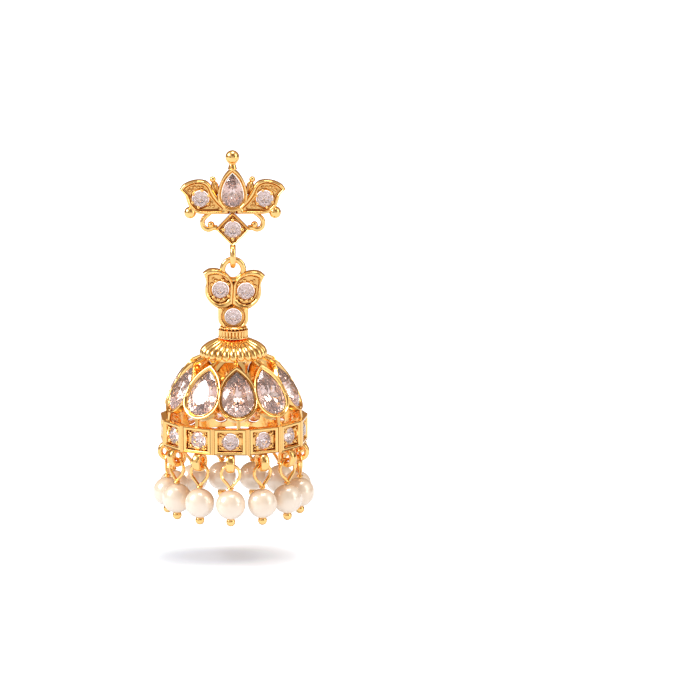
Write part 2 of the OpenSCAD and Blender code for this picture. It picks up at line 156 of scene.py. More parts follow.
class Shape:
    """Points in millimetres and faces that grow into one mesh."""

    def __init__(self):
        self.points = []
        self.faces = []
        self.backed = []
        self.foil = None

    def add(self, points, faces, place=Matrix.Identity(4)):
        start = len(self.points)
        self.points += [place @ Vector(p) for p in points]
        self.faces += [[start + i for i in face] for face in faces]
        self.backed += [False] * len(faces)

    def loft(self, rings, place=Matrix.Identity(4), joined=False):
        """Skins rings of equal counts. The last is joined to the first, or both ends are capped."""
        n = len(rings[0])
        faces = []
        for i in range(len(rings) if joined else len(rings) - 1):
            a, b = i * n, (i + 1) % len(rings) * n
            faces += [(a + k, a + (k + 1) % n, b + (k + 1) % n, b + k) for k in range(n)]
        if not joined:
            faces += [tuple(range(n)), tuple(range((len(rings) - 1) * n, len(rings) * n))]
        self.add([p for ring in rings for p in ring], faces, place)

    def lathe(self, profile, place=Matrix.Identity(4), steps=48, joined=False):
        """Turns rows of radius and height about the local z axis."""
        self.loft([level_ring(r, z, steps) for r, z in profile], place, joined)

    def ball(self, radius, centre, steps=20, place=Matrix.Identity(4)):
        rows = max(6, steps // 2)
        profile = [(radius * sin(pi * k / rows), -radius * cos(pi * k / rows))
                   for k in range(1, rows)]
        self.lathe(profile, place @ Matrix.Translation(centre), steps)

    def wire(self, path, radius, flat, place=Matrix.Identity(4), sides=12, closed=False):
        """Sweeps a round wire along a path that lies in the plane with the normal `flat`."""
        path = [Vector(p) for p in path]
        flat = Vector(flat).normalized()
        last = len(path) - 1
        rings = []
        for i, p in enumerate(path):
            before = path[i - 1] if i or closed else p
            after = path[(i + 1) % len(path)] if i < last or closed else p
            side = (after - before).normalized().cross(flat)
            r = radius(i / last) if callable(radius) else radius
            rings.append([p + x * side + y * flat for x, y in circle(r, sides)])
        self.loft(rings, place, closed)

    def piece(self, name, material, body, nodes, slot, sharp=35):
        """Makes the mesh in metres, and sets it in the frame in place of its CAD nodes."""
        mesh = bpy.data.meshes.new(name)
        mesh.from_pydata([p * MM for p in self.points], [], self.faces)
        work = bmesh.new()
        work.from_mesh(mesh)
        bmesh.ops.recalc_face_normals(work, faces=work.faces)
        for face in work.faces:
            face.smooth = sharp > 0
        work.to_mesh(mesh)
        work.free()
        if sharp > 0:
            mesh.set_sharp_from_angle(angle=radians(sharp))
        mesh.materials.append(material)
        if any(self.backed):
            mesh.materials.append(self.foil)
            mesh.polygons.foreach_set("material_index", [int(b) for b in self.backed])
        piece = bpy.data.objects.new(name, mesh)
        bpy.context.scene.collection.objects.link(piece)
        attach(piece, body)
        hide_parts(*nodes)


def shift(x, y, z):
    return Matrix.Translation((x, y, z))


def turn(angle, axis):
    return Matrix.Rotation(angle, 4, axis)


def around(count, first, i):
    """The place of one of the pieces set around the bell's axis."""
    return shift(0, AXIS_Y, 0) @ turn(radians(first + i * 360 / count), "Z")


def circle(radius, steps):
    return [(radius * cos(2 * pi * k / steps), radius * sin(2 * pi * k / steps))
            for k in range(steps)]


def level_ring(radius, height, steps):
    return [(x, y, height) for x, y in circle(radius, steps)]


def squared(angle, power):
    """A point of a circle drawn out towards a square, the more so the lower the power."""
    x, y = cos(angle), sin(angle)
    return copysign(abs(x) ** power, x), copysign(abs(y) ** power, y)


def upright(points, depth):
    """A drawing of x and z, stood up at a depth forwards of its back."""
    return [Vector((x, -depth, z)) for x, z in points]


def outline(rows, steps=10):
    """Points through rows of x, z and the bow of the arc to the next row, to the way's right."""
    points = []
    for (ax, az, bow), (bx, bz, _) in zip(rows, rows[1:] + rows[:1]):
        dx, dz = bx - ax, bz - az
        length = hypot(dx, dz)
        for k in range(steps):
            t = k / steps
            out = 4 * bow * t * (1 - t) / length
            points.append((ax + t * dx + out * dz, az + t * dz - out * dx))
    return points


def between(a, b, t):
    return [(ax + t * (bx - ax), az + t * (bz - az)) for (ax, az), (bx, bz) in zip(a, b)]


def onto_circle(points, centre, radius):
    """Each point drawn in to a circle about the centre."""
    moved = []
    for x, z in points:
        dx, dz = x - centre[0], z - centre[1]
        share = radius / hypot(dx, dz)
        moved.append((centre[0] + share * dx, centre[1] + share * dz))
    return moved


def pear_outline(radius, height, grow=0.0, steps=10):
    """A pear's points: its tip, a flank, the round end and the other flank."""
    flank = (height ** 2 + radius ** 2) / (2 * radius)
    tip = sqrt((flank + grow) ** 2 - (flank - radius) ** 2)
    sweep = asin(tip / (flank + grow))
    right = [(radius - flank + (flank + grow) * cos(sweep * (1 - k / steps)),
              (flank + grow) * sin(sweep * (1 - k / steps))) for k in range(steps)]
    end = [((radius + grow) * cos(pi * k / (2 * steps)), -(radius + grow) * sin(pi * k / (2 * steps)))
           for k in range(2 * steps)]
    left = [(-x, z) for x, z in reversed(right[1:])]
    return right + end + [(-(radius + grow), 0)] + left


# --- Materials ---

def material(name):
    made = bpy.data.materials.new(name)
    made.use_nodes = True
    return made, made.node_tree.nodes, made.node_tree.links, made.node_tree.nodes["Principled BSDF"]


def add_noise(nodes, links, scale):
    place = nodes.new("ShaderNodeTexCoord")
    noise = nodes.new("ShaderNodeTexNoise")
    noise.inputs["Scale"].default_value = scale
    noise.inputs["Detail"].default_value = 3.0
    links.new(place.outputs["Object"], noise.inputs["Vector"])
    return noise.outputs["Fac"]


def add_tone(nodes, links, source, low, high):
    """A colour between two: low where the source is 0, high where it is 1."""
    tone = nodes.new("ShaderNodeMix")
    tone.data_type = "RGBA"
    tone.inputs["B"].default_value = high
    links.new(source, tone.inputs["Factor"])
    if isinstance(low, tuple):
        tone.inputs["A"].default_value = low
    else:
        links.new(low, tone.inputs["A"])
    return tone.outputs["Result"]


def add_range(nodes, links, source, low, high):
    spread = nodes.new("ShaderNodeMapRange")
    spread.inputs["From Min"].default_value = 0.3
    spread.inputs["From Max"].default_value = 0.7
    spread.inputs["To Min"].default_value = low
    spread.inputs["To Max"].default_value = high
    links.new(source, spread.inputs["Value"])
    return spread.outputs["Result"]


def add_bump(nodes, links, source, shader, strength, distance):
    bump = nodes.new("ShaderNodeBump")
    bump.inputs["Strength"].default_value = strength
    bump.inputs["Distance"].default_value = distance
    links.new(source, bump.inputs["Height"])
    links.new(bump.outputs["Normal"], shader.inputs["Normal"])


def add_painted_crevice_shade(nodes, links, colour, dark):
    """The colour, turned to a dark one in the corners of the casting: painted shade in its hollows.
    """
    crevice = nodes.new("ShaderNodeAmbientOcclusion")
    crevice.samples = 4
    crevice.only_local = True
    crevice.inputs["Distance"].default_value = 0.9 * MM
    depth = nodes.new("ShaderNodeMapRange")
    depth.inputs["From Min"].default_value = 0.22
    depth.inputs["From Max"].default_value = 0.8
    links.new(crevice.outputs["AO"], depth.inputs["Value"])
    painted_shade = nodes.new("ShaderNodeMix")
    painted_shade.data_type = "RGBA"
    painted_shade.inputs["A"].default_value = dark
    links.new(depth.outputs["Result"], painted_shade.inputs["Factor"])
    links.new(colour, painted_shade.inputs["B"])
    return painted_shade.outputs["Result"]


def gold_material():
    """Polished gold plating over a casting, a little wavy and uneven in its polish, with painted
    shade in its corners.
    """
    made, nodes, links, shader = material("gold_plating")
    shader.inputs["Metallic"].default_value = 1.0
    broad = add_noise(nodes, links, 350)
    tone = add_tone(nodes, links, broad, (1.0, 0.59, 0.19, 1), (1.0, 0.66, 0.26, 1))
    # Painted shade: the gold turns deep brown in the casting's corners and hollows.
    painted_shade = add_painted_crevice_shade(nodes, links, tone, (0.55, 0.24, 0.05, 1))
    links.new(painted_shade, shader.inputs["Base Color"])
    fine = add_noise(nodes, links, 1800)
    links.new(add_range(nodes, links, fine, 0.05, 0.12), shader.inputs["Roughness"])
    add_bump(nodes, links, broad, shader, 0.25, 0.1 * MM)
    return made


def stone_material():
    """Clear, faintly pink cubic zirconia."""
    made, nodes, links, shader = material("pink_stone")
    tone = add_tone(nodes, links, add_noise(nodes, links, 500), (0.97, 0.86, 0.85, 1),
                    (1.0, 0.94, 0.93, 1))
    links.new(tone, shader.inputs["Base Color"])
    shader.inputs["Roughness"].default_value = 0.02
    shader.inputs["IOR"].default_value = 1.8
    shader.inputs["Transmission Weight"].default_value = 0.96
    return made


def foil_material(name, deep, pale):
    """The bright foil on the back of a stone."""
    made, nodes, links, shader = material(name)
    tone = add_tone(nodes, links, add_noise(nodes, links, 900), deep, pale)
    links.new(tone, shader.inputs["Base Color"])
    shader.inputs["Metallic"].default_value = 0.9
    shader.inputs["Roughness"].default_value = 0.07
    return made


def pearl_material():
    """A faux pearl: a creamy body under a glossy coat."""
    made, nodes, links, shader = material("pearl")
    broad = add_noise(nodes, links, 260)
    tone = add_tone(nodes, links, broad, (0.95, 0.75, 0.55, 1), (0.97, 0.85, 0.72, 1))
    links.new(tone, shader.inputs["Base Color"])
    links.new(add_range(nodes, links, broad, 0.2, 0.26), shader.inputs["Roughness"])
    shader.inputs["Metallic"].default_value = 0.18
    shader.inputs["Coat Weight"].default_value = 0.8
    shader.inputs["Coat Roughness"].default_value = 0.05
    add_bump(nodes, links, add_noise(nodes, links, 900), shader, 0.08, 0.1 * MM)
    return made


GOLD = gold_material()
STONE = stone_material()
ROSE_FOIL = foil_material("rose_foil", (0.91, 0.73, 0.66, 1), (0.99, 0.89, 0.84, 1))
PALE_FOIL = foil_material("pale_foil", (0.97, 0.85, 0.82, 1), (1.0, 0.96, 0.94, 1))
PEARL = pearl_material()


# --- Stones ---

# Rows of facets, as shares of the girdle's width and of the crown's height or pavilion's depth
CROWN_ROWS = [(0.58, 1.0), (0.79, 0.62)]
PAVILION_ROWS = [(0.78, 0.34), (0.53, 0.64), (0.26, 0.86)]
GIRDLE_HALF = 0.03  # half of the girdle's thickness, as a share of the crown's height
PEAR_HEART = 0.18  # from a pear's round end's centre up to its culet, as a share of its height
PEAR_CROWN = 0.3  # the height of a pear stone's crown, as a share of its radius
PEAR_PAVILION = 0.8  # the depth of a pear stone below its girdle, as a share of its radius
ROUND_CROWN = 0.32  # the same for a round stone
ROUND_PAVILION = 0.86


def cut_rows(girdle, heart, crown, pavilion):
    """A brilliant's rows: table, stars, upper and lower girdle, and three of the pavilion."""

    def drawn(share, height, first):
        return [(heart[0] + share * (x - heart[0]), heart[1] + share * (y - heart[1]), height)
                for x, y in girdle[first::2]]

    rows = [drawn(share, high * crown, i % 2) for i, (share, high) in enumerate(CROWN_ROWS)]
    rows += [[(x, y, side * GIRDLE_HALF * crown) for x, y in girdle] for side in (1, -1)]
    rows += [drawn(share, -deep * pavilion, (i + 1) % 2)
             for i, (share, deep) in enumerate(PAVILION_ROWS)]
    return rows


def cut_facets(numbers):
    """The crown's facets and the pavilion's, as numbers of points. Point 0 is the culet."""
    table, star, upper, lower, first, second, third = numbers
    half = len(table)
    crown = [tuple(table)]
    pavilion = []
    for i in range(half):
        j, h = (i + 1) % half, (i - 1) % half
        a, b, c = 2 * i, 2 * i + 1, 2 * j
        crown += [(table[i], table[j], star[i]), (table[i], star[i], upper[a]),
                  (table[i], upper[a], star[h]), (star[i], upper[b], upper[a]),
                  (star[i], upper[c], upper[b]), (upper[a], upper[b], lower[b], lower[a]),
                  (upper[b], upper[c], lower[c], lower[b])]
        pavilion += [(lower[a], lower[b], first[i]), (lower[b], lower[c], first[i]),
                     (lower[a], first[i], second[i]), (first[h], lower[a], second[i]),
                     (second[i], first[i], third[i]), (first[i], second[j], third[i]),
                     (third[h], second[i], third[i]), (third[h], third[i], 0)]
    return crown, pavilion


def cut_stone(shape, girdle, heart, crown, pavilion, place):
    """A brilliant cut with staggered facets. Its table faces local z, and its back is foiled."""
    points = [(heart[0], heart[1], -pavilion)]
    numbers = []
    for row in cut_rows(girdle, heart, crown, pavilion):
        numbers.append(range(len(points), len(points) + len(row)))
        points += row
    front, back = cut_facets(numbers)
    shape.add(points, front + back, place)
    shape.backed[-len(back):] = [True] * len(back)


def pear_cup(shape, size, start, drop, thick, place):
    """A thin metal cup under a pear stone, from near its girdle to below its culet."""
    r, h = size["radius"], size["height"]
    heart = PEAR_HEART * h
    girdle = pear_outline(r, h, -GAP / 2, 8)

    def ring(share, z):
        return [(share * x, heart + share * (y - heart), z) for x, y in girdle]

    deepest = PEAR_PAVILION * r
    rows = [(1.0, start)] + [(share, -deepest * deep - drop) for share, deep in PAVILION_ROWS]
    rows += [(0.04, -deepest - drop)]
    rings = [ring(share, z) for share, z in rows]
    rings += [ring(share, z - thick) for share, z in reversed(rows)]
    shape.loft(rings, place, joined=True)


def round_stone(shape, radius, place):
    r = radius - GAP
    shape.foil = PALE_FOIL
    cut_stone(shape, circle(r, 16), (0, 0), ROUND_CROWN * r, ROUND_PAVILION * r, place)


def pear_stone(shape, size, place):
    r, h = size["radius"], size["height"]
    shape.foil = ROSE_FOIL
    girdle = pear_outline(r, h, -GAP, 5)
    cut_stone(shape, girdle, (0, PEAR_HEART * h), PEAR_CROWN * r, PEAR_PAVILION * r, place)


def facing(x, y, z):
    """The place of a stone that looks to the front."""
    return shift(x, y, z) @ turn(pi / 2, "X")


# --- Settings ---

# Rims, as shares of the way from the outer edge to the inner one, and depths below the top
DOUBLE_RIM = [(0, 0.42), (0.04, 0.24), (0.12, 0.1), (0.24, 0.02), (0.38, 0.0), (0.5, 0.04),
              (0.6, 0.14), (0.67, 0.23), (0.73, 0.16), (0.81, 0.09), (0.9, 0.12), (0.98, 0.28)]
ROUND_RIM = [(0, 0.42), (0.05, 0.22), (0.15, 0.09), (0.3, 0.01), (0.45, 0.0), (0.6, 0.05),
             (0.74, 0.13), (0.86, 0.25), (0.95, 0.4)]


def rimmed_plate(shape, outer, inner, rim, thick, floor, hole, hole_r, place):
    """A flat setting: a rim, a sunk floor, and a seat round the hole behind its stone."""
    rings = [upright(outer, 0.12), upright(outer, thick - rim[0][1] - 0.05)]
    rings += [upright(between(outer, inner, t), thick - d) for t, d in rim]
    rings += [upright(inner, thick - floor)]
    seat = onto_circle(inner, hole, hole_r + 0.2)
    well = onto_circle(inner, hole, hole_r)
    rings += [upright(between(inner, seat, 0.9), thick - floor), upright(seat, thick - floor + 0.1),
              upright(between(well, seat, 0.4), thick - floor + 0.18),
              upright(well, thick - floor + 0.12), upright(well, 0)]
    rings += [upright(between(outer, well, 0.05), 0)]
    shape.loft(rings, place, joined=True)


def inside(p, points):
    """Whether a point is inside an outline."""
    hit = False
    for (ax, az), (bx, bz) in zip(points, points[1:] + points[:1]):
        if (az > p[1]) != (bz > p[1]) and p[0] < ax + (p[1] - az) * (bx - ax) / (bz - az):
            hit = not hit
    return hit


def edge_distance(p, points):
    best = float("inf")
    for (ax, az), (bx, bz) in zip(points, points[1:] + points[:1]):
        dx, dz = bx - ax, bz - az
        t = max(0, min(1, ((p[0] - ax) * dx + (p[1] - az) * dz) / (dx * dx + dz * dz)))
        best = min(best, hypot(p[0] - ax - t * dx, p[1] - az - t * dz))
    return best


def pave(shape, inner, stone, stone_r, depth, radius, place):
    """Little beads in rows over the floor that the stone leaves free."""
    pitch = 2.05 * radius
    left, right = min(x for x, z in inner), max(x for x, z in inner)
    z, top = min(z for x, z in inner), max(z for x, z in inner)
    row = 0
    while z < top:
        x = left + (row % 2) * pitch / 2
        while x < right:
            clear = hypot(x - stone[0], z - stone[1]) > stone_r + 0.6 * radius
            if clear and inside((x, z), inner) and edge_distance((x, z), inner) > 0.55 * radius:
                size = radius * random.uniform(0.85, 1.08)
                shape.ball(size, (x, -depth + 0.25 * radius, z), 10, place)
            x += pitch
        row += 1
        z += 0.87 * pitch


def prongs(shape, centre, reach, depth, radius, angles, place):
    """Bead prongs that lean over a round stone's edge."""
    for angle in angles:
        a = radians(angle)
        x, z = centre[0] + reach * cos(a), centre[1] + reach * sin(a)
        shape.ball(radius, (x, -depth, z), 14, place)


def pear_bezel(shape, size, rim, back, place, steps=10):
    """A pear collet with a double rim. Its face is at local z = 0 and it goes back by `back`."""
    rows = [(1.0, -back), (1.0, -0.14), (0.98, -0.06), (0.93, -0.01), (0.86, 0.0), (0.7, 0.0),
            (0.6, -0.03), (0.34, -0.18), (0.3, -0.2), (0.25, -0.16), (0.18, -0.12), (0.08, -0.13),
            (0.0, -0.2), (0.0, -back)]
    rings = []
    for share, z in rows:
        rings.append([(x, y, z) for x, y in pear_outline(**size, grow=share * rim, steps=steps)])
    shape.loft(rings, place, joined=True)


# --- Stud ---

PETAL_OUTER = [
    [(7.13, 0.88), (6.58, 1.6), (5.5, 2.08), (4.4, 2.22), (3.46, 2.02), (2.9, 1.48), (2.37, 0.6),
     (1.56, -0.62), (0.4, -1.95)],
    [(0.4, -1.95), (0.4, -2.42)],
    [(0.4, -2.42), (2.5, -2.45), (4.4, -2.42), (5.25, -2.1), (5.82, -1.5), (6.15, -0.7),
     (6.42, 0.15), (7.13, 0.88)]]
PETAL_INNER = [
    [(6.5, 0.86), (5.72, 1.42), (4.68, 1.7), (3.86, 1.5), (3.36, 0.95), (3.06, 0.15),
     (2.36, -0.82), (1.62, -1.55)],
    [(1.62, -1.55), (1.75, -1.84)],
    [(1.75, -1.84), (3.73, -1.88), (4.75, -1.65), (5.38, -1.0), (5.7, -0.1), (6.05, 0.4),
     (6.5, 0.86)]]
PETAL_COUNTS = [34, 3, 28]
SCROLL = [(3.0, -2.3), (3.45, -2.62), (3.93, -3.11), (4.07, -3.66), (3.86, -4.3), (3.25, -4.55),
          (2.62, -4.3), (2.1, -4.35)]


def smooth_path(rows, steps=6):
    """A Catmull-Rom curve through rows of x and z."""
    rows = [rows[0]] + rows + [rows[-1]]
    path = []
    for i in range(1, len(rows) - 2):
        p0, p1, p2, p3 = (Vector((r[0], r[1])) for r in rows[i - 1:i + 3])
        for k in range(steps):
            t = k / steps
            path.append(0.5 * (2 * p1 + (p2 - p0) * t + (2 * p0 - 5 * p1 + 4 * p2 - p3) * t ** 2
                               + (3 * p1 - p0 - 3 * p2 + p3) * t ** 3))
    path.append(Vector(rows[-1]))
    return path


def curved(parts, counts):
    """Even points along smooth curves that meet at corners."""
    points = []
    for rows, count in zip(parts, counts):
        path = smooth_path(rows)
        lengths = [0]
        for a, b in zip(path, path[1:]):
            lengths.append(lengths[-1] + (b - a).length)
        i = 0
        for k in range(count):
            want = lengths[-1] * k / count
            while lengths[i + 1] < want:
                i += 1
            share = (want - lengths[i]) / (lengths[i + 1] - lengths[i])
            points.append(tuple(path[i].lerp(path[i + 1], share)))
    return points


def bud(shape, place):
    """A small bud with ten ribs."""
    rings = []
    for radius, z in ((0.12, -1.4), (0.28, -0.9), (0.42, -0.5), (0.46, -0.1), (0.34, 0.25),
                      (0.18, 0.45)):
        ring = []
        for k in range(60):
            a = 2 * pi * k / 60
            r = radius + 0.05 * cos(10 * a)
            ring.append((r * cos(a), r * sin(a), z))
        rings.append(ring)
    shape.loft(rings, place)


def stud_half(shape, side):
    """One side of the lotus: its petal, scroll, balls and bud."""
    place = Matrix.Diagonal((side, 1, 1, 1))
    outer, inner = curved(PETAL_OUTER, PETAL_COUNTS), curved(PETAL_INNER, PETAL_COUNTS)
    inner = between(outer, inner, 1.2)
    rimmed_plate(shape, outer, inner, DOUBLE_RIM, PETAL_THICK, 0.55, SIDE_STONE, LEAF_STONE_R,
                 place)
    pave(shape, inner, SIDE_STONE, LEAF_STONE_R + 0.2, PETAL_THICK - 0.5, 0.24, place)
    prongs(shape, SIDE_STONE, LEAF_STONE_R + 0.04, PETAL_THICK - 0.2, 0.22,
           (35, 100, 160, 215, 285, 335), place)
    middle = -PETAL_THICK / 2
    path = [(p.x, middle, p.y) for p in smooth_path(SCROLL)]
    shape.wire(path, lambda t: 0.3 + 0.09 * t, (0, 1, 0), place)
    shape.ball(0.48, (2.92, middle - 0.05, -3.9), 20, place)
    shape.ball(SIDE_BALL_R, (5.7, middle, -2.25), 28, place)
    shape.ball(SMALL_BALL_R, (2.65, middle, 2.25), 16, place)
    bud(shape, place @ shift(2.42, middle, 1.55) @ turn(radians(15), "Y"))


def rhombus(scale):
    """Rows for outline(): the lower setting, with sides a little bowed."""
    wide, tall = scale * RHOMBUS_WIDE, scale * RHOMBUS_TALL
    return [[wide, 0, 0.02], [0, tall, 0.02], [-wide, 0, 0.02], [0, -tall, 0.02]]


def stud_shape():
    shape = Shape()
    stud_half(shape, 1)
    stud_half(shape, -1)
    pear_bezel(shape, STUD_PEAR, STUD_PEAR_RIM, SETTING_THICK,
               facing(0, -SETTING_THICK, STUD_PEAR_Z))
    middle = -PETAL_THICK / 2
    top = STUD_HIGH.z - TOP_BALL_R
    neck = [(0.62, STUD_PEAR_Z + 3.6), (0.5, top - 1.15), (0.42, top - 0.95), (0.6, top - 0.82),
            (0.6, top - 0.7), (0.4, top - 0.6)]
    shape.lathe(neck, shift(0, middle, 0), 24)
    shape.ball(TOP_BALL_R, (0, middle, top), 32)
    stone = (0, 0)
    place = shift(0, 0, RHOMBUS_Z)
    rimmed_plate(shape, outline(rhombus(1)), outline(rhombus(0.71)), DOUBLE_RIM, SETTING_THICK,
                 0.42, stone, LEAF_STONE_R, place)
    prongs(shape, stone, LEAF_STONE_R + 0.14, SETTING_THICK - 0.16, 0.27, (0, 90, 180, 270), place)
    ring = [(0, y, z) for y, z in circle(FIXED_RING_R, 48)]
    shape.wire(ring, RING_WIRE_R, (1, 0, 0), shift(0, -SETTING_THICK / 2, FIXED_RING_Z), 16, True)
    return shape


def build_stud():
    stud_shape().piece("stud_casting", GOLD, "stud", ["stud_frame"], "gold")
    for name, side in (("stud_side_stone_left", -1), ("stud_side_stone_right", 1)):
        shape = Shape()
        round_stone(shape, LEAF_STONE_R,
                    facing(side * SIDE_STONE[0], 0.35 - PETAL_THICK - 0.05, SIDE_STONE[1]))
        shape.piece(name + "_cut", STONE, "stud", [name], "stone", 0)
    shape = Shape()
    round_stone(shape, LEAF_STONE_R, facing(0, STONE_SINK - SETTING_THICK, RHOMBUS_Z))
    shape.piece("stud_lower_stone_cut", STONE, "stud", ["stud_lower_stone"], "stone", 0)
    shape = Shape()
    pear_stone(shape, STUD_PEAR, facing(0, STONE_SINK - SETTING_THICK, STUD_PEAR_Z))
    shape.piece("stud_pear_stone_cut", STONE, "stud", ["stud_pear_stone"], "stone", 0)
    low, high = box_mm("ear_post")
    r, tip = (high.x - low.x) / 2, high.y
    shape = Shape()
    shape.lathe([(r, low.y), (r, tip - 1.6), (0.8 * r, tip - 1.45), (0.8 * r, tip - 1.15),
                 (r, tip - 1.0), (r, tip - 0.3), (0.55 * r, tip)],
                shift(0, 0, (low.z + high.z) / 2) @ turn(-pi / 2, "X"), 24)
    shape.piece("ear_post_pin", GOLD, "stud", ["ear_post"], "gold")


# --- Connector ---

LEAF_OUTER = [
    [(4.17, 2.5), (3.45, 3.02), (2.45, 3.12), (1.4, 2.8), (0.6, 2.25), (0.12, 1.5), (-0.05, 1.1)],
    [(-0.05, 1.1), (-0.05, -1.65)],
    [(-0.05, -1.65), (0.35, -2.05), (1.0, -2.37), (1.75, -2.32), (2.5, -1.95), (3.25, -1.28),
     (3.72, -0.45), (3.8, 0.4), (3.7, 1.2), (3.86, 1.85), (4.17, 2.5)]]
LEAF_INNER = [
    [(3.3, 2.1), (2.4, 2.3), (1.5, 2.15), (0.85, 1.75), (0.5, 1.1)],
    [(0.5, 1.1), (0.43, 0.3), (0.62, -0.7)],
    [(0.62, -0.7), (1.1, -1.22), (1.75, -1.42), (2.5, -1.15), (3.05, -0.5), (3.26, 0.3),
     (3.3, 1.2), (3.3, 2.1)]]
LEAF_COUNTS = [26, 12, 44]
BASE_OUTER = [[BASE_WIDE, 0, 0], [-BASE_WIDE, 0, 0], [-BASE_WIDE, -1.4, 0.2],
              [-1.4, -BASE_TALL, 0], [1.4, -BASE_TALL, 0.2], [BASE_WIDE, -1.4, 0]]


def ribbed_collar(shape, place):
    """A drum with upright ribs between two plain edges."""
    rows = [(0.9, -COLLAR_TALL), (1.0, -COLLAR_TALL + 0.06), (1.0, -COLLAR_TALL + 0.16),
            (0.96, -COLLAR_TALL + 0.22), (0.96, -0.22), (1.0, -0.16), (1.0, -0.06), (0.9, 0)]
    steps = RIBS * 8
    rings = []
    for i, (share, z) in enumerate(rows):
        ribbed = i in (3, 4)
        ring = []
        for k in range(steps):
            a = 2 * pi * k / steps
            r = COLLAR_R * share
            if ribbed:
                r += 0.26 * abs(sin(RIBS * a / 2)) ** 0.8 - 0.2
            ring.append((r * cos(a), r * sin(a), z))
        rings.append(ring)
    shape.loft(rings, place)


def leaves(shape):
    """The two leaf settings, side by side."""
    face = shift(0, AXIS_Y, LEAF_Z) @ turn(LEAF_ROLL, "Y") @ shift(0, LEAF_THICK / 2, 0)
    outer, inner = curved(LEAF_OUTER, LEAF_COUNTS), curved(LEAF_INNER, LEAF_COUNTS)
    for side in (-1, 1):
        place = face @ Matrix.Diagonal((side, 1, 1, 1))
        rimmed_plate(shape, outer, inner, ROUND_RIM, LEAF_THICK, 0.6, LEAF_STONE, LEAF_STONE_R,
                     place)
        prongs(shape, LEAF_STONE, LEAF_STONE_R + 0.22, LEAF_THICK - 0.28, 0.25,
               (30, 62, 100, 138, 214, 246, 278, 312), place)
        shape.ball(0.2, (2.75, 0.4 - LEAF_THICK, LEAF_STONE[1] + 1.45), 12, place)


def base_setting(shape):
    """The round setting below the leaves, with a square-shouldered outline."""
    outer = outline(BASE_OUTER)
    stone = (0, -BASE_STONE_DROP)
    rimmed_plate(shape, outer, onto_circle(outer, stone, LEAF_STONE_R + 0.3), ROUND_RIM, BASE_THICK,
                 0.42, stone, LEAF_STONE_R, shift(0, AXIS_Y + BASE_THICK / 2, BASE_Z))


def peg(shape, axis):
    """The peg through the bell's cap, with its riveted head."""
    foot = CONNECTOR_LOW.z
    shape.lathe([(0.8, COLLAR_Z - 0.5), (0.8, foot + 0.55), (1.25, foot + 0.5), (1.4, foot + 0.35),
                 (1.35, foot + 0.15), (1.0, foot + 0.03), (0.6, foot)], axis, 32)


def connector_shape():
    shape = Shape()
    ring = [(x, 0, z) for x, z in circle(HANGING_RING_R, 48)]
    shape.wire(ring, RING_WIRE_R, (0, 1, 0), shift(0, AXIS_Y, HANGING_RING_Z), 16, True)
    leaves(shape)
    base_setting(shape)
    axis = shift(0, AXIS_Y, 0)
    lip = COLLAR_Z + 0.4
    shape.lathe([(1.3, COLLAR_Z), (1.6, COLLAR_Z + 0.04), (1.75, COLLAR_Z + 0.2),
                 (1.6, lip), (1.3, lip + 0.1)], axis, 48)
    for bead in level_ring(1.72, COLLAR_Z + 0.2, 22):
        shape.ball(0.17, bead, 10, axis)
    ribbed_collar(shape, shift(0, AXIS_Y, COLLAR_Z))
    peg(shape, axis)
    return shape


def build_connector():
    connector_shape().piece("connector_casting", GOLD, "drop", ["connector"], "gold")
    face = shift(0, AXIS_Y, LEAF_Z) @ turn(LEAF_ROLL, "Y")
    for name, side in (("connector_stone_left", -1), ("connector_stone_right", 1)):
        shape = Shape()
        round_stone(shape, LEAF_STONE_R,
                    face @ facing(side * LEAF_STONE[0], 0.35 - LEAF_THICK / 2, LEAF_STONE[1]))
        shape.piece(name + "_cut", STONE, "drop", [name], "stone", 0)
    shape = Shape()
    round_stone(shape, LEAF_STONE_R,
                facing(0, AXIS_Y + STONE_SINK - BASE_THICK / 2, BASE_Z - BASE_STONE_DROP))
    shape.piece("connector_stone_base_cut", STONE, "drop", ["connector_stone_base"], "stone", 0)


# --- Cap ---

def fluted_ring(p, inward, swell, steps):
    """A ring through the point p of the dome's outline, drawn in between its ribs."""
    ring = []
    for k in range(steps):
        a = 2 * pi * k / steps
        valley = 1 - abs(sin(FLUTES * a / 2)) ** 0.75
        q = p + inward * (0.06 + 0.36 * swell) * valley
        ring.append((q.x * cos(a), q.x * sin(a), q.y + 0.22 * valley * swell ** 4))
    return ring


def build_cap():
    """A fluted dome: round ribs that swell towards a scalloped rim."""
    rows = [(COLLAR_R - 0.1, 1.0), (0.53 * CAP_R, 0.92), (0.64 * CAP_R, 0.81), (0.75 * CAP_R, 0.69),
            (0.85 * CAP_R, 0.55), (0.94 * CAP_R, 0.36), (0.995 * CAP_R, 0.12), (CAP_R, -0.1),
            (0.985 * CAP_R, -0.22), (0.95 * CAP_R, -0.26)]
    rows = [Vector((r, z * CAP_TALL)) for r, z in rows]
    steps = FLUTES * 10
    rings = []
    for i, p in enumerate(rows):
        along = rows[min(i + 1, len(rows) - 1)] - rows[max(i - 1, 0)]
        inward = Vector((along.y, -along.x)).normalized()
        rings.append(fluted_ring(p, inward, (i + 0.5) / len(rows), steps))
    for r, z in ((CAP_R - 0.36, 0.0), (0.8 * CAP_R - 0.3, 0.45 * CAP_TALL),
                 (COLLAR_R - 0.4, 0.68 * CAP_TALL), (0.95, 0.72 * CAP_TALL), (0.86, CAP_TALL)):
        rings.append(level_ring(r, z, steps))
    shape = Shape()
    shape.loft(rings, shift(0, AXIS_Y, CAP_LOW.z), joined=True)
    shape.piece("bell_cap_fluted", GOLD, "drop", ["bell_cap"], "gold", 50)


# --- Bell ---

CAD_TABLE = 0.62  # the width of the CAD stone's table, as a share of its girdle


